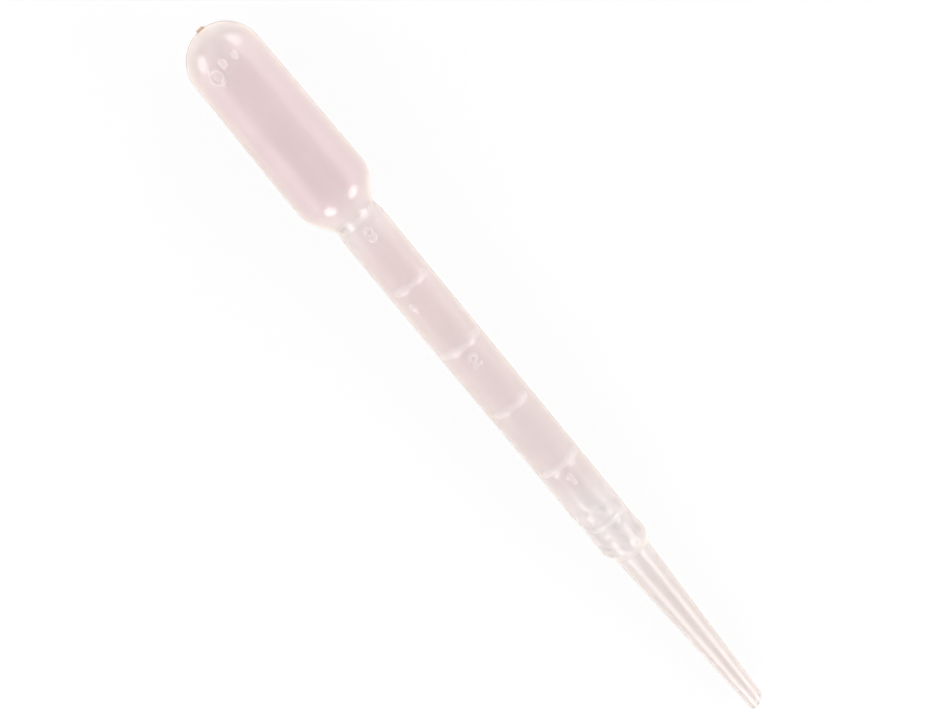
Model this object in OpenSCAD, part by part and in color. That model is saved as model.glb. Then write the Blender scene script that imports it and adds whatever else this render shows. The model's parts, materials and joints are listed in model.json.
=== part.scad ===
// A plastic dropper pipette, blown in one piece: a squeeze bulb, a graduated stem
// and a thin tip, hollow from the bulb to the tip's mouth. It lies on its side with
// the graduation up, the bulb toward -X and the tip toward +X. The origin is the
// middle of its footprint, on the surface that it lies on. Millimetres.

/* [Tip] */
// Length of the thin tip, from its cut end to the foot of the stem
tip_len = 39.5; // [28:0.5:55]
// Outside diameter at the cut end
tip_end_d = 3; // [2.6:0.1:4.2]
// Outside diameter at the foot of the stem
tip_root_d = 6.2; // [4.8:0.1:6.6]
// Bore at the mouth
tip_mouth_bore_d = 1.6; // [0.8:0.05:2.1]
// Bore at the foot of the stem
tip_root_bore_d = 3.75; // [2.4:0.05:4.3]

/* [Stem] */
// Outside diameter of the stem
stem_d = 8.2; // [7:0.1:10]
// Wall of the stem
stem_wall = 0.69; // [0.4:0.01:0.9]
// Length of the outside taper from the tip up to the full stem
foot_len = 1.8; // [1.2:0.1:4]
// Radius that rounds the foot into the stem
foot_round = 1.5; // [0.6:0.1:4]
// Length of the funnel inside, from the tip's bore to the stem's
funnel_len = 4.5; // [3:0.1:8]
// Distance below the foot at which the funnel starts
funnel_lead = 0.5; // [0:0.1:2]

/* [Neck] */
// Depth of the neck below the stem's surface
neck_depth = 0.4; // [0.1:0.05:0.7]
// Length over which the stem draws in to the neck
neck_draw = 2; // [1:0.1:4]
// Wall of the neck
neck_wall = 0.52; // [0.35:0.01:0.8]
// Radius that rounds the neck
neck_round = 1; // [0.4:0.1:2]

/* [Bulb] */
// Height from the neck to the top of the dome
bulb_len = 38.4; // [28:0.1:60]
// Diameter of the bulb at its widest, just above the neck's cone
bulb_wide_d = 13.5; // [11:0.1:18]
// Diameter of the dome
dome_d = 12.65; // [10:0.05:17.5]
// Wall of the bulb
bulb_wall = 0.5; // [0.3:0.01:0.9]
// Wall at the top of the dome, where the plastic is thicker
dome_wall = 1; // [0.3:0.05:1.5]
// Angle of the cone from the neck to the bulb, off the axis
cone_angle = 33; // [24:1:45]
// Radius that rounds the cone into the bulb
bulb_round = 6; // [2:0.1:8]

/* [Graduation] */
// Volume up to the neck, in cubic millimetres
capacity = 3000; // [1500:500:3500]
// Volume from one line to the next, in cubic millimetres
volume_step = 500; // [250:250:1000]
// Height of a line above the stem
line_proud = 0.2; // [0.05:0.01:0.2]
// Radius of a line's rounded section
line_round = 0.6; // [0.4:0.05:0.9]
// Angle that a line at a whole millilitre spans
whole_sweep = 110; // [60:2:150]
// Angle that a line between whole millilitres spans
part_sweep = 84; // [40:2:120]
// Height of a numeral
numeral_h = 2.4; // [1.6:0.1:3.2]
// Width of a numeral's stroke
numeral_stroke = 0.45; // [0.3:0.05:0.6]
// Height of a numeral above the stem
numeral_proud = 0.18; // [0.05:0.01:0.2]
// Distance from a line down to the middle of its numeral
numeral_drop = 3; // [2.2:0.1:5]

/* [Moulding details] */
// Width of the parting line's ridge
seam_w = 0.24; // [0.1:0.02:0.5]
// Height of the parting line's ridge
seam_proud = 0.08; // [0.03:0.01:0.15]
// Length of the pinched-off scar on the dome, along the parting line
scar_len = 1.5; // [0.8:0.1:3]
// Width of the scar
scar_w = 0.7; // [0.4:0.1:1.5]
// Height of the scar
scar_h = 0.45; // [0.2:0.05:0.8]
// Radius of the round dots of the cavity mark and of the dot on the stem
dot_r = 0.62; // [0.4:0.02:0.8]
// Radius of the ring of the cavity mark
ring_r = 1.05; // [0.7:0.05:1.3]
// Height of the cavity mark above the dome, and of the dot above the stem
mark_proud = 0.2; // [0.05:0.01:0.3]

/* [Hidden] */
$fn = 96;
// Largest turn between two points of a rounded corner, in degrees
arc_step = 6;
// Overlap and overshoot that keep a cut or a joint clean
lap = 1;

tip_end_r = tip_end_d / 2;
tip_root_r = tip_root_d / 2;
mouth_bore_r = tip_mouth_bore_d / 2;
root_bore_r = tip_root_bore_d / 2;
stem_r = stem_d / 2;
stem_bore_r = stem_r - stem_wall;
neck_r = stem_r - neck_depth;
neck_bore_r = neck_r - neck_wall;
bulb_wide_r = bulb_wide_d / 2;
dome_r = dome_d / 2;

// Heights along the axis, from the tip's cut end
foot_top = tip_len + foot_len;
funnel_bottom = tip_len - funnel_lead;
funnel_top = funnel_bottom + funnel_len;
neck_z = level(capacity);
bulb_wide_z = neck_z + (bulb_wide_r - neck_r) / tan(cone_angle);
dome_top = neck_z + bulb_len;
dome_z = dome_top - dome_r;
inner_dome_r = dome_r - bulb_wall;
inner_dome_z = dome_top - dome_wall - inner_dome_r;

// Radii of the small roundings
cut_round = 0.12;
root_round = 0.5;

// Cavity mark: angles round the axis and up the dome
dot_angles = [-6, 14];
dot_rise = 8;
ring_angle = -25;
ring_rise = -2;
ring_tube_r = 0.32;

// Dot on the stem: angle round the axis, and distance down from the last line but one
stem_dot_angle = -32;
stem_dot_drop = 3.4;

// Volume of a cone's stump from its two end radii and its length
function stump(r1, r2, length) = PI * length * (r1 ^ 2 + r1 * r2 + r2 ^ 2) / 3;

// Height to which a volume fills the pipette, from the tip's cut end
function level(volume) =
    funnel_top
    + (volume - stump(mouth_bore_r, root_bore_r, funnel_bottom)
              - stump(root_bore_r, stem_bore_r, funnel_len)) / (PI * stem_bore_r ^ 2);

function unit(v) = v / norm(v);
function xy(corner) = [corner.x, corner.y];

// Half of the angle inside corner b, between its neighbours a and c
function half_angle(a, b, c) = acos(unit(a - b) * unit(c - b)) / 2;

// Centre of the arc of radius r that rounds corner b
function arc_centre(a, b, c, r) =
    b + unit(unit(a - b) + unit(c - b)) * r / sin(half_angle(a, b, c));

// Points of the arc that rounds corner b
function corner_arc(a, b, c, r) =
    let (
        centre = arc_centre(a, b, c, r),
        start = b + unit(a - b) * r / tan(half_angle(a, b, c)) - centre,
        turn = (180 - 2 * half_angle(a, b, c)) * sign(cross(b - a, c - b)),
        steps = ceil(abs(turn) / arc_step)
    )
    [for (i = [0 : steps])
        centre + r * [
            cos(atan2(start.y, start.x) + turn * i / steps),
            sin(atan2(start.y, start.x) + turn * i / steps)
        ]];

// An outline whose corners are given as [radius, height, rounding]
function rounded(corners) =
    let (n = len(corners))
    [for (i = [0 : n - 1])
        each corners[i].z == 0
            ? [xy(corners[i])]
            : corner_arc(
                xy(corners[(i + n - 1) % n]),
                xy(corners[i]),
                xy(corners[(i + 1) % n]),
                corners[i].z
            )];

// Where a line from a corner touches a dome of radius r, from the height of its centre
function dome_touch(corner, r, height) =
    let (
        reach = norm([corner.x, corner.y - height]),
        angle = atan2(corner.y - height, corner.x) + acos(r / reach)
    )
    [r * cos(angle), height + r * sin(angle)];

// The corners that the pipette rests on, before rounding
foot_corner = [stem_r, foot_top];
bulb_corner = [bulb_wide_r, bulb_wide_z];

// Outside outline up to the dome, with every radius larger by grow
function outside_corners(grow) =
    let (touch = dome_touch(bulb_corner + [grow, 0], dome_r + grow, dome_z))
    [
        [0, 0, 0],
        [tip_end_r + grow, 0, cut_round],
        [tip_root_r + grow, tip_len, root_round],
        [stem_r + grow, foot_top, foot_round],
        [stem_r + grow, neck_z - neck_draw, neck_round],
        [neck_r + grow, neck_z, neck_round],
        [bulb_wide_r + grow, bulb_wide_z, bulb_round],
        [touch.x, touch.y, 0],
        [0, touch.y, 0]
    ];

// Inside outline up to the dome
function inside_corners() =
    let (
        wide_r = bulb_wide_r - bulb_wall,
        wide_z = neck_z + (wide_r - neck_bore_r) / tan(cone_angle),
        touch = dome_touch([wide_r, wide_z], inner_dome_r, inner_dome_z)
    )
    [
        [0, -lap, 0],
        [mouth_bore_r, -lap, 0],
        [mouth_bore_r, 0, 0],
        [root_bore_r, funnel_bottom, root_round],
        [stem_bore_r, funnel_top, foot_round],
        [stem_bore_r, neck_z - neck_draw, neck_round],
        [neck_bore_r, neck_z, neck_round],
        [wide_r, wide_z, bulb_round - bulb_wall],
        [touch.x, touch.y, 0],
        [0, touch.y, 0]
    ];

// Half of the ball that ends in the dome, on the axis
module half_dome(r, height) {
    intersection() {
        translate([0, height]) circle(r);
        translate([0, height - r]) square([r, 2 * r]);
    }
}

module outside_outline(grow = 0) {
    polygon(rounded(outside_corners(grow)));
    half_dome(dome_r + grow, dome_z);
}

module inside_outline() {
    polygon(rounded(inside_corners()));
    half_dome(inner_dome_r, inner_dome_z);
}

// Turns a drawing so that it stands upright and faces +X
module facing_front() {
    rotate([90, 0, 90]) children();
}

// Fine ridge down both sides, where the halves of the mould met
module parting_line() {
    facing_front()
        linear_extrude(height = seam_w, center = true) {
            outside_outline(seam_proud);
            mirror([1, 0]) outside_outline(seam_proud);
        }
}

// Scar on the dome, where the blown tube was pinched off
module pinch_scar() {
    translate([0, 0, dome_top - lap])
        linear_extrude(height = lap + scar_h) {
            square([scar_w, scar_len - scar_w], center = true);
            for (side = [-1, 1])
                translate([0, side * (scar_len - scar_w) / 2]) circle(scar_w / 2);
        }
}

// Raised line of a rounded section, round the front of the stem
module graduation_line(height, sweep, base_r) {
    rotate([0, 0, -sweep / 2])
        rotate_extrude(angle = sweep)
            translate([base_r + line_proud - line_round, height]) circle(line_round);
}

// Part of a ring between two angles, for the bowls of the numerals
module bowl(r, from, to) {
    // The wedge reaches far enough out that its chords stay outside the ring
    reach = 3 * r;
    turns = [0 : 0.25 : 1];
    intersection() {
        difference() {
            circle(r + numeral_stroke / 2);
            circle(r - numeral_stroke / 2);
        }
        polygon([
            [0, 0],
            for (turn = turns) reach * [cos(from + (to - from) * turn), sin(from + (to - from) * turn)]
        ]);
    }
}

// Straight stroke between two points, with round ends
module stroke(start, finish) {
    run = finish - start;
    translate(start)
        rotate([0, 0, atan2(run.y, run.x)])
            translate([0, -numeral_stroke / 2]) square([norm(run), numeral_stroke]);
    translate(start) circle(numeral_stroke / 2);
    translate(finish) circle(numeral_stroke / 2);
}

module numeral_one() {
    top = [0, (numeral_h - numeral_stroke) / 2];
    // Reach of the short flag, to the side and down
    flag = [0.22, 0.2] * numeral_h;
    stroke(-top, top);
    stroke(top, top - flag);
}

module numeral_two() {
    // The bowl takes a little over half of the height
    bowl_share = 0.58;
    foot_y = -(numeral_h - numeral_stroke) / 2;
    bowl_r = -foot_y * bowl_share;
    bowl_y = -foot_y - bowl_r;
    turn = -35;
    translate([0, bowl_y]) bowl(bowl_r, turn, 180);
    stroke([bowl_r * cos(turn), bowl_y + bowl_r * sin(turn)], [-bowl_r, foot_y]);
    stroke([-bowl_r, foot_y], [bowl_r, foot_y]);
}

module numeral_three() {
    bowl_r = (numeral_h - numeral_stroke) / 4;
    reach = 140;
    translate([0, bowl_r]) bowl(bowl_r, -90, reach);
    translate([0, -bowl_r]) bowl(bowl_r, -reach, 90);
}

module numeral(value) {
    if (value == 1) numeral_one();
    if (value == 2) numeral_two();
    if (value == 3) numeral_three();
}

// Raised numeral on the front of the stem
module stem_numeral(value, height) {
    intersection() {
        translate([0, 0, height])
            facing_front() linear_extrude(height = stem_r + lap) numeral(value);
        cylinder(h = dome_top, r = stem_r + numeral_proud);
    }
}

// Lines at every volume step up to the neck, with a numeral under each whole millilitre
module graduation() {
    for (volume = [volume_step : volume_step : capacity]) {
        whole = volume % 1000 == 0;
        graduation_line(
            level(volume),
            whole ? whole_sweep : part_sweep,
            volume == capacity ? neck_r : stem_r
        );
        if (whole) stem_numeral(volume / 1000, level(volume) - numeral_drop);
    }
}

// Two dots and a ring that tell the mould's cavity, on the front of the dome
module cavity_mark() {
    translate([0, 0, dome_z]) {
        for (angle = dot_angles)
            rotate([0, -dot_rise, angle])
                translate([dome_r + mark_proud - dot_r, 0, 0]) sphere(dot_r);
        rotate([0, -ring_rise, ring_angle])
            translate([sqrt(dome_r ^ 2 - ring_r ^ 2) + mark_proud - ring_tube_r, 0, 0])
                rotate([0, 90, 0])
                    rotate_extrude() translate([ring_r, 0]) circle(ring_tube_r);
    }
}

// Dot on the stem, at one side of the graduation
module stem_dot() {
    rotate([0, 0, stem_dot_angle])
        translate([stem_r + mark_proud - dot_r, 0, level(capacity - volume_step) - stem_dot_drop])
            sphere(dot_r);
}

// The pipette upright on its axis, with its tip's cut end at the origin
module upright_pipette() {
    difference() {
        union() {
            // The turning starts at the back, clear of the graduation and of the parting line
            rotate([0, 0, 180]) rotate_extrude() outside_outline();
            parting_line();
            pinch_scar();
            graduation();
            cavity_mark();
            stem_dot();
        }
        rotate_extrude() inside_outline();
    }
}

// The pipette lies on two rings: the foot of its stem, and the bulb where it is widest or a
// dome that is wider. Each ring's section is an arc, given here by its centre
foot_ring = arc_centre([tip_root_r, tip_len], foot_corner, [stem_r, neck_z], foot_round);
bulb_ring = arc_centre([neck_r, neck_z], bulb_corner, dome_touch(bulb_corner, dome_r, dome_z), bulb_round);
dome_ring = [0, dome_z];

// Tilt at which the foot and a ring whose arc has radius r lie on one surface
function tilt_onto(ring, r) =
    atan2(ring.x - foot_ring.x, ring.y - foot_ring.y) + asin((r - foot_round) / norm(ring - foot_ring));

tilt = max(tilt_onto(bulb_ring, bulb_round), tilt_onto(dome_ring, dome_r));
lift = foot_ring.x * cos(tilt) + foot_round - foot_ring.y * sin(tilt);
middle_x = (tip_end_r * sin(tilt) - (dome_top + scar_h) * cos(tilt)) / 2;

module pipette() {
    color("mistyrose")
        translate([-middle_x, 0, lift])
            rotate([0, tilt - 90, 0])
                upright_pipette();
}

pipette();
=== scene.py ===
import json
import math

import bpy
import numpy as np
from mathutils import Matrix, Vector


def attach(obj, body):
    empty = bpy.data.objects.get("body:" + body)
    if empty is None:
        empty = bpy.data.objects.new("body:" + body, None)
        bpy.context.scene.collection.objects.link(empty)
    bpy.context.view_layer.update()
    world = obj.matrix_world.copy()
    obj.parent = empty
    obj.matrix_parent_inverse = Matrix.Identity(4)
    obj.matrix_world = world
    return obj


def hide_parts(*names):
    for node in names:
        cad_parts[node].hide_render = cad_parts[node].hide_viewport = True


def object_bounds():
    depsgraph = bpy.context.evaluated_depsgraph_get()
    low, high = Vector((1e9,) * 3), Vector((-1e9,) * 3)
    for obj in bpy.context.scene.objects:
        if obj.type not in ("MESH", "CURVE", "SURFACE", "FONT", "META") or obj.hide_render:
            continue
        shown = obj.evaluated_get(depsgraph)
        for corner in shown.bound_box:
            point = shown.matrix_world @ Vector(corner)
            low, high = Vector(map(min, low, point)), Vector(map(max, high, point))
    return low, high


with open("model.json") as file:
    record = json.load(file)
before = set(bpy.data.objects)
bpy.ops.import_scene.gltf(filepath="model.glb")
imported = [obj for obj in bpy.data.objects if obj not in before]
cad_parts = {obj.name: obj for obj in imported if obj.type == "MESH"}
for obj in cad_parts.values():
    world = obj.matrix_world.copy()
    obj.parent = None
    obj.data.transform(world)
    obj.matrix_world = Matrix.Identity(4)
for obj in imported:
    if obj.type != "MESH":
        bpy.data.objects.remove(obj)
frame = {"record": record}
cad_box = [list(corner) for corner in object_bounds()]

# The pipette's own frame, in millimetres: z runs up the axis from the tip's cut end to
# the dome, x is the front with the graduation, y is the side. Radii are from the axis.
MM = 0.001
mouth = next(mount for mount in frame["record"]["mounts"] if mount["name"] == "mouth")
toward_tip = Vector(mouth["axis"]).normalized()
side = Vector((0, 1, 0))
front = side.cross(-toward_tip)
own_frame = Matrix((front, side, -toward_tip)).transposed().to_4x4()
own_frame.translation = Vector(mouth["pos_m"])

TIP_LEN = 39.5
TIP_END_R = 1.5
TIP_ROOT_R = 3.1
MOUTH_BORE_R = 0.8
ROOT_BORE_R = 1.875

STEM_R = 4.1
STEM_WALL = 0.69
FOOT_LEN = 1.8
FOOT_ROUND = 1.5
FUNNEL_LEN = 4.5
FUNNEL_LEAD = 0.5

NECK_DEPTH = 0.4
NECK_DRAW = 2
NECK_WALL = 0.52
NECK_ROUND = 1

BULB_LEN = 38.4
BULB_WIDE_R = 6.75
BULB_WALL = 0.5
DOME_WALL = 1
BULB_ROUND = 6
CONE_ANGLE = math.radians(33)
DOME_R = 6.325

CUT_ROUND = 0.12
ROOT_ROUND = 0.5

# Volumes in cubic millimetres
CAPACITY = 3000
VOLUME_STEP = 500
MILLILITRE = 1000
LINE_PROUD = 0.22
LINE_ROUND = 1.3
WHOLE_SWEEP = math.radians(110)
PART_SWEEP = math.radians(84)
NUMERAL_H = 2.4
NUMERAL_STROKE = 0.45
NUMERAL_PROUD = 0.22
NUMERAL_ROUND = 0.45
NUMERAL_DROP = 3
FLAG_REACH = np.array([0.22, 0.2])
TWO_BOWL = 0.58
TWO_TURN = math.radians(-35)
THREE_REACH = math.radians(140)

SEAM_W = 0.24
SEAM_PROUD = 0.08
SCAR_LEN = 1.5
SCAR_W = 0.7
SCAR_H = 0.45
DOT_ROUND = 0.8
DOT_STRETCH = 0.75
DOT_ANGLES = [math.radians(-6), math.radians(14)]
DOT_RISE = math.radians(8)
RING_R = 1.05
RING_TUBE_R = 0.32
RING_STRETCH = 0.85
RING_ANGLE = math.radians(-25)
RING_RISE = math.radians(-2)
RING_PROUD = 0.2
DOT_PROUD = 0.33
STEM_DOT_ANGLE = math.radians(-32)
STEM_DOT_DROP = 3.4
# Height above the skin at which a mark has its full paleness, partly a painted highlight
MARK_HIGHLIGHT_AT = 0.3

# How far the blown wall wanders: the neck and the foot lean to one side, the tip is cut a
# little aslant, the skin ripples, and the stem is lumpy just above its foot
NECK_SKEW = 0.42
NECK_SKEW_REACH = 9
FOOT_SKEW = -0.45
FOOT_SKEW_REACH = 4.5
TIP_SLANT = 0.55
TIP_SLANT_REACH = 4
RIPPLE = 0.02
OUTER_RIPPLE_SEED = 1
INNER_RIPPLE_SEED = 2
RIPPLE_PITCHES = (18, 70)
RIPPLE_TURNS = (2, 3, 4, 5, 7)
FOOT_LUMPS = 90
FOOT_LUMP_REACH = 12
FOOT_LUMP_SIZES = (0.45, 1.1)
FOOT_LUMP_H = 0.1
FOOT_LUMP_SEED = 5

# The mesh is fine where there is something to show: in rows along the section at the
# relief and the foot, and in columns round the axis at the front and the parting line
ROW_STEP = 1.5
ROW_FINE_STEP = 0.13
ROW_FOOT_STEP = 0.27
ROW_TURN = math.radians(8)
COLUMN_STEP = math.radians(6.5)
COLUMN_FINE_STEP = math.radians(1.15)
COLUMN_SEAM_STEP = math.radians(0.5)
COLUMN_BESIDE_STEP = 1.6 * COLUMN_FINE_STEP
FRONT_REACH = math.radians(33)
BESIDE_REACH = math.radians(60)
SEAM_REACH = math.radians(3)
ARC_POINTS = 24
DOME_POINTS = 90
SAMPLES = 20000
NORMAL_REACH = 0.02
LINE_SPAN = 0.8
NUMERAL_SPAN = 1.4
DOME_SPAN = (1.9, 1.8)
SCAR_SPAN = 0.08


def stump(r1, r2, length):
    """Volume of a cone's stump."""
    return math.pi * length * (r1**2 + r1 * r2 + r2**2) / 3


STEM_BORE_R = STEM_R - STEM_WALL
NECK_R = STEM_R - NECK_DEPTH
NECK_BORE_R = NECK_R - NECK_WALL
FOOT_TOP = TIP_LEN + FOOT_LEN
FUNNEL_BOTTOM = TIP_LEN - FUNNEL_LEAD
FUNNEL_TOP = FUNNEL_BOTTOM + FUNNEL_LEN


def level(volume):
    """Height to which a volume in cubic millimetres fills the pipette."""
    tip = stump(MOUTH_BORE_R, ROOT_BORE_R, FUNNEL_BOTTOM)
    funnel = stump(ROOT_BORE_R, STEM_BORE_R, FUNNEL_LEN)
    return FUNNEL_TOP + (volume - tip - funnel) / (math.pi * STEM_BORE_R**2)


NECK_Z = level(CAPACITY)
DOME_TOP = NECK_Z + BULB_LEN
DOME_Z = DOME_TOP - DOME_R
INNER_DOME_R = DOME_R - BULB_WALL
INNER_DOME_Z = DOME_TOP - DOME_WALL - INNER_DOME_R


def smooth(x):
    """From 0 to 1 as x goes from 0 to 1, with a soft start and end."""
    x = np.clip(x, 0, 1)
    return x * x * (3 - 2 * x)


# ---------------------------------------------------------------- the wall's section


def unit(v):
    return v / np.linalg.norm(v, axis=-1, keepdims=True)


def corner_arc(a, b, c, r):
    """Points of the arc of radius r that rounds corner b, between its neighbours a and c."""
    half = math.acos(unit(a - b) @ unit(c - b)) / 2
    centre = b + unit(unit(a - b) + unit(c - b)) * r / math.sin(half)
    start = b + unit(a - b) * r / math.tan(half) - centre
    turn = (math.pi - 2 * half) * np.sign(np.cross(b - a, c - b))
    angles = math.atan2(start[1], start[0]) + turn * np.linspace(0, 1, ARC_POINTS)
    return [centre + r * np.array([math.cos(angle), math.sin(angle)]) for angle in angles]


def rounded(corners):
    """An outline through corners given as (radius, height, rounding)."""
    points = []
    flat = [np.array(corner[:2], float) for corner in corners]
    for i, (r, z, rounding) in enumerate(corners):
        if rounding:
            points += corner_arc(flat[i - 1], flat[i], flat[i + 1], rounding)
        else:
            points.append(flat[i])
    return points


def dome_arc(corner, r, height):
    """Points of a dome centred at that height, from the axis to where a line from corner touches it."""
    reach = math.hypot(corner[0], corner[1] - height)
    low = math.atan2(corner[1] - height, corner[0]) + math.acos(r / reach)
    return [
        np.array([r * math.cos(angle), height + r * math.sin(angle)])
        for angle in np.linspace(math.pi / 2, low, DOME_POINTS)
    ]


def wall_section():
    """The wall's outline as (radius, height): down the outside and up the inside."""
    wide_z = NECK_Z + (BULB_WIDE_R - NECK_R) / math.tan(CONE_ANGLE)
    outer_dome = dome_arc((BULB_WIDE_R, wide_z), DOME_R, DOME_Z)
    bore_wide_r = BULB_WIDE_R - BULB_WALL
    bore_wide_z = NECK_Z + (bore_wide_r - NECK_BORE_R) / math.tan(CONE_ANGLE)
    inner_dome = dome_arc((bore_wide_r, bore_wide_z), INNER_DOME_R, INNER_DOME_Z)
    return np.array(
        outer_dome[:-1]
        + rounded([
            (*outer_dome[-1], 0),
            (BULB_WIDE_R, wide_z, BULB_ROUND),
            (NECK_R, NECK_Z, NECK_ROUND),
            (STEM_R, NECK_Z - NECK_DRAW, NECK_ROUND),
            (STEM_R, FOOT_TOP, FOOT_ROUND),
            (TIP_ROOT_R, TIP_LEN, ROOT_ROUND),
            (TIP_END_R, 0, CUT_ROUND),
            (MOUTH_BORE_R, 0, CUT_ROUND / 2),
            (ROOT_BORE_R, FUNNEL_BOTTOM, ROOT_ROUND),
            (STEM_BORE_R, FUNNEL_TOP, FOOT_ROUND),
            (STEM_BORE_R, NECK_Z - NECK_DRAW, NECK_ROUND),
            (NECK_BORE_R, NECK_Z, NECK_ROUND),
            (bore_wide_r, bore_wide_z, BULB_ROUND - BULB_WALL),
            (*inner_dome[-1], 0),
        ])
        + inner_dome[-2::-1]
    )


def detail_spans():
    """Heights on the outside between which there is relief."""
    dot_z = level(CAPACITY - VOLUME_STEP) - STEM_DOT_DROP
    spans = [
        (DOME_Z - DOME_SPAN[0], DOME_Z + DOME_SPAN[1]),
        (DOME_TOP - SCAR_SPAN, DOME_TOP),
        (dot_z - LINE_SPAN, dot_z + LINE_SPAN),
    ]
    for volume in range(VOLUME_STEP, CAPACITY + 1, VOLUME_STEP):
        height = level(volume)
        spans.append((height - LINE_SPAN, height + LINE_SPAN))
        if volume % MILLILITRE == 0:
            middle = height - NUMERAL_DROP
            spans.append((middle - NUMERAL_SPAN, middle + NUMERAL_SPAN))
    return spans


def spread(places, cost):
    """Places picked so that each step between them costs about 1."""
    total = np.concatenate([[0], np.cumsum(cost)])
    return np.interp(np.linspace(0, total[-1], round(total[-1]) + 1), total, places)


def section_rows():
    """Points of the section where the mesh has rows, their normals, and which are outside."""
    section = wall_section()
    pieces = np.linalg.norm(np.diff(section, axis=0), axis=1)
    run = np.concatenate([[0], np.cumsum(pieces)])
    fine_run = np.linspace(0, run[-1], SAMPLES)
    at = np.stack([np.interp(fine_run, run, section[:, i]) for i in (0, 1)], axis=1)
    mouth_run = run[np.argmin(section[:, 1])]
    step = np.diff(fine_run)
    heading = np.unwrap(np.arctan2(*np.diff(at, axis=0).T[::-1]))
    turning = np.abs(np.diff(heading, prepend=heading[0]))
    middle = (at[1:] + at[:-1]) / 2
    outer = fine_run[1:] < mouth_run
    detailed = np.zeros(len(step), bool)
    for low, high in detail_spans():
        detailed |= (middle[:, 1] > low) & (middle[:, 1] < high) & outer
    lumpy = (np.abs(middle[:, 1] - FOOT_TOP) < FOOT_LUMP_REACH + 1) & outer
    cost = step / ROW_STEP + turning / ROW_TURN
    cost += detailed * step / ROW_FINE_STEP + lumpy * step / ROW_FOOT_STEP
    rows = spread(fine_run, cost)
    point = np.stack([np.interp(rows, fine_run, at[:, i]) for i in (0, 1)], axis=1)
    ahead, behind = (
        np.stack([np.interp(rows + shift, fine_run, at[:, i]) for i in (0, 1)], axis=1)
        for shift in (NORMAL_REACH, -NORMAL_REACH)
    )
    along = unit(ahead - behind)
    normal = np.stack([-along[:, 1], along[:, 0]], axis=1)
    return point, normal, rows < mouth_run


def column_angles():
    """Angles round the axis at which the mesh has its columns."""
    angles = np.linspace(-math.pi, math.pi, SAMPLES + 1)
    middle = np.abs((angles[1:] + angles[:-1]) / 2)
    step = np.diff(angles)
    cost = step / COLUMN_STEP
    cost += (middle < FRONT_REACH) * step / COLUMN_FINE_STEP
    cost += ((middle > FRONT_REACH) & (middle < BESIDE_REACH)) * step / COLUMN_BESIDE_STEP
    cost += (np.abs(middle - math.pi / 2) < SEAM_REACH) * step / COLUMN_SEAM_STEP
    return spread(angles, cost)[:-1]


# ---------------------------------------------------------------- the relief on the outside


def ball_rise(point, normal, centre, r):
    """How far out along its normal each point is covered by a ball of radius r round its centre."""
    offset = centre - point
    reach = np.sum(offset * normal, axis=-1)
    inside = reach**2 - np.sum(offset**2, axis=-1) + r**2
    return np.where(inside > 0, np.maximum(reach + np.sqrt(np.maximum(inside, 0)), 0), 0)


def polar(r, angle, z):
    """A point from its distance to the axis, its angle from the front and its height."""
    return np.stack(np.broadcast_arrays(r * np.cos(angle), r * np.sin(angle), z), axis=-1)


def ridge(distance, r, proud):
    """Height of a rounded ridge of section radius r, at a distance from its crest."""
    return np.maximum(np.sqrt(np.maximum(r**2 - distance**2, 0)) - (r - proud), 0)


def line_rise(point, angle, volume):
    sweep = PART_SWEEP if volume % MILLILITRE else WHOLE_SWEEP
    past_end = STEM_R * np.maximum(np.abs(angle) - sweep / 2, 0)
    return ridge(np.hypot(point[..., 2] - level(volume), past_end), LINE_ROUND, LINE_PROUD)


def dot_rise(point, angle, z):
    """A dot, a little longer along the axis than it is wide."""
    middle = polar(np.hypot(point[..., 0], point[..., 1]), angle, z)
    offset = (point - middle) * [1, 1, DOT_STRETCH]
    return ridge(np.linalg.norm(offset, axis=-1), DOT_ROUND, DOT_PROUD)


def ring_rise(point):
    z = DOME_Z + DOME_R * math.sin(RING_RISE)
    middle = polar(np.hypot(point[..., 0], point[..., 1]), RING_ANGLE, z)
    distance = np.linalg.norm((point - middle) * [1, 1, RING_STRETCH], axis=-1)
    return ridge(distance - RING_R, RING_TUBE_R, RING_PROUD)


def scar_rise(point, normal):
    half_run = (SCAR_LEN - SCAR_W) / 2
    centre = np.zeros_like(point)
    centre[..., 1] = np.clip(point[..., 1], -half_run, half_run)
    centre[..., 2] = DOME_TOP + SCAR_H - SCAR_W / 2
    return ball_rise(point, normal, centre, SCAR_W / 2)


def seam_rise(point):
    return SEAM_PROUD * np.maximum(1 - (point[..., 0] / (SEAM_W / 2)) ** 2, 0)


def to_stroke(x, y, start, end):
    """Distance to a straight stroke."""
    start, run = np.array(start), np.array(end) - np.array(start)
    share = np.clip(((x - start[0]) * run[0] + (y - start[1]) * run[1]) / (run @ run), 0, 1)
    return np.hypot(x - start[0] - share * run[0], y - start[1] - share * run[1])


def to_bowl(x, y, r, first, last):
    """Distance to a bowl of radius r round the origin, between two angles."""
    middle, half = (first + last) / 2, (last - first) / 2
    angle = (np.arctan2(y, x) - middle + math.pi) % (2 * math.pi) - math.pi
    angle = np.clip(angle, -half, half) + middle
    return np.hypot(x - r * np.cos(angle), y - r * np.sin(angle))


def to_one(x, y):
    top = (NUMERAL_H - NUMERAL_STROKE) / 2
    flag = (0, top) - FLAG_REACH * NUMERAL_H
    return np.minimum(to_stroke(x, y, (0, -top), (0, top)), to_stroke(x, y, (0, top), flag))


def to_two(x, y):
    top = (NUMERAL_H - NUMERAL_STROKE) / 2
    bowl_r = TWO_BOWL * top
    bowl_y = top - bowl_r
    bowl_end = (bowl_r * math.cos(TWO_TURN), bowl_y + bowl_r * math.sin(TWO_TURN))
    return np.minimum.reduce([
        to_bowl(x, y - bowl_y, bowl_r, TWO_TURN, math.pi),
        to_stroke(x, y, bowl_end, (-bowl_r, -top)),
        to_stroke(x, y, (-bowl_r, -top), (bowl_r, -top)),
    ])


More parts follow.
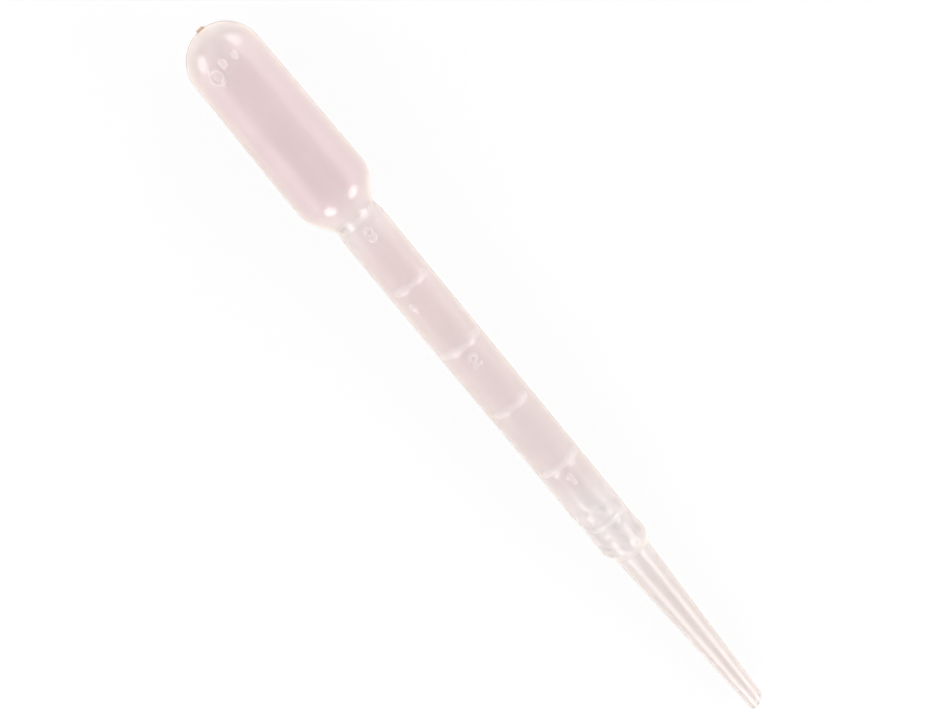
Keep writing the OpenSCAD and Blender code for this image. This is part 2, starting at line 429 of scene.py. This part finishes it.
def to_three(x, y):
    bowl_r = (NUMERAL_H - NUMERAL_STROKE) / 4
    return np.minimum(
        to_bowl(x, y - bowl_r, bowl_r, -math.pi / 2, THREE_REACH),
        to_bowl(x, y + bowl_r, bowl_r, -THREE_REACH, math.pi / 2),
    )


NUMERALS = {1: to_one, 2: to_two, 3: to_three}


def numeral_rise(point, volume):
    distance = NUMERALS[volume // MILLILITRE](point[..., 1], point[..., 2] - level(volume) + NUMERAL_DROP)
    return ridge(distance, NUMERAL_ROUND, NUMERAL_PROUD) * (point[..., 0] > 0)


def relief(point, normal, angle):
    """Height of what stands on the smooth outside: the graduation and the marks of the mould."""
    rises = [seam_rise(point), scar_rise(point, normal), ring_rise(point)]
    rises += [dot_rise(point, dot, DOME_Z + DOME_R * math.sin(DOT_RISE)) for dot in DOT_ANGLES]
    rises.append(dot_rise(point, STEM_DOT_ANGLE, level(CAPACITY - VOLUME_STEP) - STEM_DOT_DROP))
    for volume in range(VOLUME_STEP, CAPACITY + 1, VOLUME_STEP):
        rises.append(line_rise(point, angle, volume))
        if volume % MILLILITRE == 0:
            rises.append(numeral_rise(point, volume))
    return np.maximum.reduce(rises)


# ---------------------------------------------------------------- the piece


def ripple(angle, z, seed):
    """Slow waves of the blown skin, mostly between -1 and 1."""
    random = np.random.default_rng(seed)
    waves = np.zeros(np.broadcast(angle, z).shape)
    for turns in RIPPLE_TURNS:
        pitch = random.uniform(*RIPPLE_PITCHES)
        waves += np.sin(turns * angle + 2 * math.pi * (z / pitch + random.random()))
    return waves * 2 / len(RIPPLE_TURNS)


def near(z, height, reach):
    """1 at a height, falling softly to 0 at that reach from it."""
    return smooth(1 - np.abs(z - height) / reach)


def foot_lumps(angle, z):
    """Soft bumps and dents of the skin on the stem just above its foot."""
    random = np.random.default_rng(FOOT_LUMP_SEED)
    skin = np.zeros(np.broadcast(angle, z).shape)
    for _ in range(FOOT_LUMPS):
        height = random.uniform(FOOT_TOP, FOOT_TOP + FOOT_LUMP_REACH)
        turn = (angle - random.uniform(-math.pi, math.pi) + math.pi) % (2 * math.pi) - math.pi
        size = random.uniform(*FOOT_LUMP_SIZES)
        distance = np.hypot(z - height, STEM_R * turn) / size
        skin += FOOT_LUMP_H * random.choice([-1, 1]) * np.exp(-distance**2)
    return skin


def pipette_mesh():
    rows, row_normals, outside = section_rows()
    angle = column_angles()[None, :]
    r, z = rows[1:-1, 0, None], rows[1:-1, 1, None]
    point = polar(r, angle, z)
    normal = polar(row_normals[1:-1, 0, None], angle, row_normals[1:-1, 1, None])
    outer = outside[1:-1, None]
    rise = np.where(outer, relief(point, normal, angle), 0)
    # How far toward near white each point is painted, by its height above the skin: partly the thicker
    # plastic of the marks, partly a painted highlight
    raised_highlight = smooth(rise / MARK_HIGHLIGHT_AT)
    taper = smooth(r / STEM_R) * smooth(z / TIP_LEN)
    outer_skin = ripple(angle, z, OUTER_RIPPLE_SEED)
    inner_skin = 2 * ripple(angle, z, INNER_RIPPLE_SEED)
    rise += RIPPLE * taper * np.where(outer, outer_skin, inner_skin)
    rise += np.where(outer, foot_lumps(angle, z), 0)
    point = point + rise[..., None] * normal
    skew = NECK_SKEW * near(z, NECK_Z + 1, NECK_SKEW_REACH)
    skew += FOOT_SKEW * near(z, FOOT_TOP, FOOT_SKEW_REACH)
    slant = TIP_SLANT * near(z, 0, TIP_SLANT_REACH)
    point[..., 2] += skew * np.sin(angle) + slant * (1 + np.sin(angle))

    count, width = point.shape[:2]
    poles = [[0, 0, DOME_TOP + SCAR_H], [0, 0, DOME_TOP - DOME_WALL]]
    corners = np.concatenate([point.reshape(-1, 3), poles])
    ids = np.arange(count * width).reshape(count, width)
    beside = np.roll(ids, -1, axis=1)
    quads = np.stack([ids[:-1], ids[1:], beside[1:], beside[:-1]], axis=-1).reshape(-1, 4)
    outer_pole, inner_pole = count * width, count * width + 1
    fans = [(outer_pole, int(a), int(b)) for a, b in zip(ids[0], beside[0])]
    fans += [(inner_pole, int(b), int(a)) for a, b in zip(ids[-1], beside[-1])]
    mesh = bpy.data.meshes.new("pipette_body")
    mesh.from_pydata((corners * MM).tolist(), [], quads.tolist() + fans)
    mesh.transform(own_frame)
    mesh.shade_smooth()
    marks = mesh.attributes.new("raised_highlight", "FLOAT", "POINT")
    marks.data.foreach_set("value", [*raised_highlight.ravel(), 1, 0])
    return mesh


# ---------------------------------------------------------------- material

# Marks standing proud are painted toward near white: partly their thicker plastic, partly a painted
# highlight where the lamps would glint on them
MARK_PALE_AND_HIGHLIGHT = (1, 0.96, 0.965, 1)
MARK_HIGHLIGHT_SHARE = 0.9
SCAR_BROWN = (0.92, 0.68, 0.52, 1)
CLOUD_SCALE = 140.0
SPECK_SCALE = 420.0
GRAIN_SCALE = 1600.0
GRAIN_H = 0.02


def add(tree, kind, **values):
    """A shader node with its inputs set by name."""
    node = tree.nodes.new(kind)
    for name, value in values.items():
        node.inputs[name.replace("_", " ")].default_value = value
    return node


def along_axis(tree, place):
    """From 0 at the dome to 1 at the tip's cut end."""
    split = tree.nodes.new("ShaderNodeSeparateXYZ")
    tree.links.new(place, split.inputs["Vector"])
    share = tree.nodes.new("ShaderNodeMapRange")
    share.inputs["From Min"].default_value = cad_box[0][0]
    share.inputs["From Max"].default_value = cad_box[1][0]
    tree.links.new(split.outputs["X"], share.inputs["Value"])
    return share.outputs["Result"]


def ramp(tree, share, stops):
    """A colour that changes along a share, through stops of (position, red, green, blue)."""
    node = tree.nodes.new("ShaderNodeValToRGB")
    elements = node.color_ramp.elements
    elements[0].position = stops[0][0]
    elements[1].position = stops[-1][0]
    for stop in stops[1:-1]:
        elements.new(stop[0])
    for element, stop in zip(elements, stops):
        element.color = (*stop[1:], 1)
    tree.links.new(share, node.inputs["Fac"])
    return node.outputs["Color"]


def blend(tree, kind, share, a, b):
    """Two colours mixed; the share is a number or a socket."""
    node = tree.nodes.new("ShaderNodeMix")
    node.data_type = "RGBA"
    node.blend_type = kind
    for socket, value in zip((node.inputs[0], node.inputs[6], node.inputs[7]), (share, a, b)):
        if isinstance(value, bpy.types.NodeSocket):
            tree.links.new(value, socket)
        else:
            socket.default_value = value
    return node.outputs[2]


def near_scar(tree, place):
    """1 on the pinched-off scar and 0 away from it."""
    reach = tree.nodes.new("ShaderNodeVectorMath")
    reach.operation = "DISTANCE"
    reach.inputs[1].default_value = own_frame @ (Vector((0, 0, DOME_TOP + SCAR_H)) * MM)
    tree.links.new(place, reach.inputs[0])
    share = tree.nodes.new("ShaderNodeMapRange")
    share.inputs["From Min"].default_value = SCAR_LEN * MM
    share.inputs["From Max"].default_value = SCAR_W * MM
    tree.links.new(reach.outputs["Value"], share.inputs["Value"])
    return share.outputs["Result"]


def polyethylene():
    """Soft hazy polyethylene with a faint pink tint, a little cloudy, with a satin moulded skin; its dome
    end and its marks are painted lighter, partly as painted rim light and painted highlight.
    """
    material = bpy.data.materials.new("hazy_polyethylene")
    material.use_nodes = True
    tree = material.node_tree
    link = tree.links.new
    shader = tree.nodes["Principled BSDF"]
    shader.inputs["IOR"].default_value = 1.5
    shader.inputs["Transmission Weight"].default_value = 0.65
    shader.inputs["Sheen Weight"].default_value = 1
    shader.inputs["Sheen Roughness"].default_value = 0.5
    shader.inputs["Sheen Tint"].default_value = (1, 0.87, 0.76, 1)

    place = tree.nodes.new("ShaderNodeTexCoord").outputs["Object"]
    clouds = add(tree, "ShaderNodeTexNoise", Scale=CLOUD_SCALE, Detail=3.0)
    link(place, clouds.inputs["Vector"])
    share = along_axis(tree, place)
    # The plastic's pink tint along the axis, lighter round the neck and over the stem just above the
    # foot. The lighter dome end is painted rim light, for the bright rim that light scattered in the
    # thick dome wall gives.
    tint_and_rim_light = ramp(tree, share, [
        (0.0, 0.985, 0.92, 0.91),
        (0.07, 0.957, 0.835, 0.85),
        (0.21, 0.957, 0.83, 0.848),
        (0.255, 0.98, 0.91, 0.905),
        (0.3, 0.955, 0.85, 0.848),
        (0.63, 0.945, 0.865, 0.86),
        (0.67, 0.99, 0.945, 0.95),
        (0.73, 0.985, 0.935, 0.935),
        (0.78, 0.92, 0.86, 0.842),
    ])
    haze = ramp(tree, clouds.outputs["Fac"], [(0.2, 0.96, 0.95, 0.955), (0.8, 1, 1, 1)])
    body = blend(tree, "MULTIPLY", 1.0, tint_and_rim_light, haze)
    specks = add(tree, "ShaderNodeTexNoise", Scale=SPECK_SCALE, Detail=2.0)
    link(place, specks.inputs["Vector"])
    speckled = ramp(tree, specks.outputs["Fac"], [(0.4, 0.9, 0.9, 0.92), (0.5, 1, 1, 1)])
    foot = ramp(tree, share, [
        (0.64, 0, 0, 0),
        (0.68, 1, 1, 1),
        (0.725, 1, 1, 1),
        (0.74, 0, 0, 0),
    ])
    body = blend(tree, "MULTIPLY", foot, body, speckled)
    # Marks standing proud are painted lighter: partly thicker plastic, partly a painted highlight
    raised_highlight = tree.nodes.new("ShaderNodeAttribute")
    raised_highlight.attribute_name = "raised_highlight"
    pale_highlight = ramp(tree, raised_highlight.outputs["Fac"], [(0, 0, 0, 0), (1, *[MARK_HIGHLIGHT_SHARE] * 3)])
    body = blend(tree, "MIX", pale_highlight, body, MARK_PALE_AND_HIGHLIGHT)
    body = blend(tree, "MIX", near_scar(tree, place), body, SCAR_BROWN)
    link(body, shader.inputs["Base Color"])

    satin = ramp(tree, share, [
        (0.25, 0.12, 0.12, 0.12),
        (0.3, 0.16, 0.16, 0.16),
        (0.73, 0.16, 0.16, 0.16),
        (0.78, 0.22, 0.22, 0.22),
    ])
    uneven = ramp(tree, clouds.outputs["Fac"], [(0.2, 0.8, 0.8, 0.8), (0.8, 1.2, 1.2, 1.2)])
    link(blend(tree, "MULTIPLY", 1.0, satin, uneven), shader.inputs["Roughness"])

    grain = add(tree, "ShaderNodeTexNoise", Scale=GRAIN_SCALE, Detail=2.0)
    link(place, grain.inputs["Vector"])
    bump = add(tree, "ShaderNodeBump", Strength=0.15, Distance=GRAIN_H * MM)
    link(grain.outputs["Fac"], bump.inputs["Height"])
    link(bump.outputs["Normal"], shader.inputs["Normal"])
    return material


# ---------------------------------------------------------------- the object

pipette = bpy.data.objects.new("pipette_body", pipette_mesh())
bpy.context.scene.collection.objects.link(pipette)
pipette.data.materials.append(polyethylene())
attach(pipette, "root")
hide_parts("pipette")

# ---------------------------------------------------------------- camera

# The camera leans LEAN toward the bulb, and the axis runs down to the right by RUN in its
# picture. Lengths are in millimetres.
LEAN = math.radians(18)
RUN = math.radians(50.34)
DISTANCE = 315
AIM_HEIGHT = 84.4
AIM_ASIDE = -0.09
SENSOR_W = 36
LENS = 71.3

along = toward_tip * math.cos(LEAN) + front * math.sin(LEAN)
toward_camera = front * math.cos(LEAN) - toward_tip * math.sin(LEAN)
image_right = along * math.cos(RUN) + side * math.sin(RUN)
image_up = side * math.cos(RUN) - along * math.sin(RUN)
aim = own_frame @ (Vector((0, AIM_ASIDE, AIM_HEIGHT)) * MM)

camera = bpy.data.objects.new("camera", bpy.data.cameras.new("camera"))
bpy.context.scene.collection.objects.link(camera)
camera.data.sensor_width = SENSOR_W
camera.data.lens = LENS
camera.matrix_world = Matrix((image_right, image_up, toward_camera)).transposed().to_4x4()
camera.matrix_world.translation = aim + toward_camera * DISTANCE * MM
bpy.context.scene.camera = camera

# ---------------------------------------------------------------- light and floor


# Lengths in metres, powers in watts
SOFT_LAMP = {"size": 0.38, "power": 1.75}
WIDE_LAMP = {"size": 0.6, "power": 0.75}
LAMP_DISTANCE = 0.65
LAMP_AIM = Vector((0, 0, 0.02))
FLOOR_REACH = 3.0
# Brightness of the floor's paper, how much of it shows as plain white, and the room's own light
PAPER = 0.9
FLOOR_WHITE = 0.88
ROOM_LIGHT = 0.59


def softbox(name, direction, size, power):
    """A round lamp facing the pipette; its direction is the image's right, up and toward the camera."""
    right, up, nearer = direction
    away = (image_right * right + image_up * up + toward_camera * nearer).normalized()
    data = bpy.data.lights.new(name, "AREA")
    data.shape = "DISK"
    data.size = size
    data.energy = power
    light = bpy.data.objects.new(name, data)
    light.rotation_mode = "QUATERNION"
    light.rotation_quaternion = away.to_track_quat("Z", "Y")
    light.location = LAMP_AIM + away * LAMP_DISTANCE
    bpy.context.scene.collection.objects.link(light)


softbox("soft_left", (-0.93, -0.04, 0.36), **SOFT_LAMP)
softbox("soft_up", (0.21, 0.90, 0.36), **SOFT_LAMP)
softbox("soft_down", (0.03, -1.0, 0.2), **SOFT_LAMP)
softbox("soft_right", (0.97, -0.22, 0.2), **SOFT_LAMP)
softbox("wide_near", (-0.77, -0.64, 0.3), **WIDE_LAMP)
softbox("wide_far", (0.77, 0.64, 0.3), **WIDE_LAMP)


def shows_white(tree):
    """1 for what is seen straight, by reflection or through the plastic, and 0 for other light."""
    path = tree.nodes.new("ShaderNodeLightPath")
    seen = path.outputs["Is Camera Ray"]
    for name in ("Is Glossy Ray", "Is Transmission Ray"):
        either = tree.nodes.new("ShaderNodeMath")
        either.operation = "MAXIMUM"
        tree.links.new(seen, either.inputs[0])
        tree.links.new(path.outputs[name], either.inputs[1])
        seen = either.outputs[0]
    return seen


def white_world():
    """White where it is seen, and ROOM_LIGHT as light on the pipette."""
    world = bpy.data.worlds.new("white_room")
    bpy.context.scene.world = world
    world.use_nodes = True
    tree = world.node_tree
    background = tree.nodes["Background"]
    background.inputs["Color"].default_value = (1, 1, 1, 1)
    strength = tree.nodes.new("ShaderNodeMapRange")
    strength.inputs["To Min"].default_value = ROOM_LIGHT
    strength.inputs["To Max"].default_value = 1.0
    tree.links.new(shows_white(tree), strength.inputs["Value"])
    tree.links.new(strength.outputs["Result"], background.inputs["Strength"])


def pale_floor():
    """A floor that shows mostly as white and keeps the pipette's soft shadow."""
    mesh = bpy.data.meshes.new("floor")
    corners = [(-1, -1), (1, -1), (1, 1), (-1, 1)]
    mesh.from_pydata([(x * FLOOR_REACH, y * FLOOR_REACH, 0) for x, y in corners], [], [(0, 1, 2, 3)])
    floor = bpy.data.objects.new("floor", mesh)
    bpy.context.scene.collection.objects.link(floor)
    material = bpy.data.materials.new("pale_floor")
    material.use_nodes = True
    tree = material.node_tree
    tree.nodes.remove(tree.nodes["Principled BSDF"])
    paper = add(tree, "ShaderNodeBsdfDiffuse", Color=(PAPER, PAPER, PAPER, 1))
    glow = add(tree, "ShaderNodeEmission", Color=(1, 1, 1, 1), Strength=1.0)
    share = tree.nodes.new("ShaderNodeMapRange")
    share.inputs["To Max"].default_value = FLOOR_WHITE
    tree.links.new(shows_white(tree), share.inputs["Value"])
    mix = tree.nodes.new("ShaderNodeMixShader")
    tree.links.new(share.outputs["Result"], mix.inputs["Fac"])
    tree.links.new(paper.outputs["BSDF"], mix.inputs[1])
    tree.links.new(glow.outputs["Emission"], mix.inputs[2])
    tree.links.new(mix.outputs["Shader"], tree.nodes["Material Output"].inputs["Surface"])
    mesh.materials.append(material)


white_world()
pale_floor()
bpy.context.scene.view_settings.view_transform = "Standard"
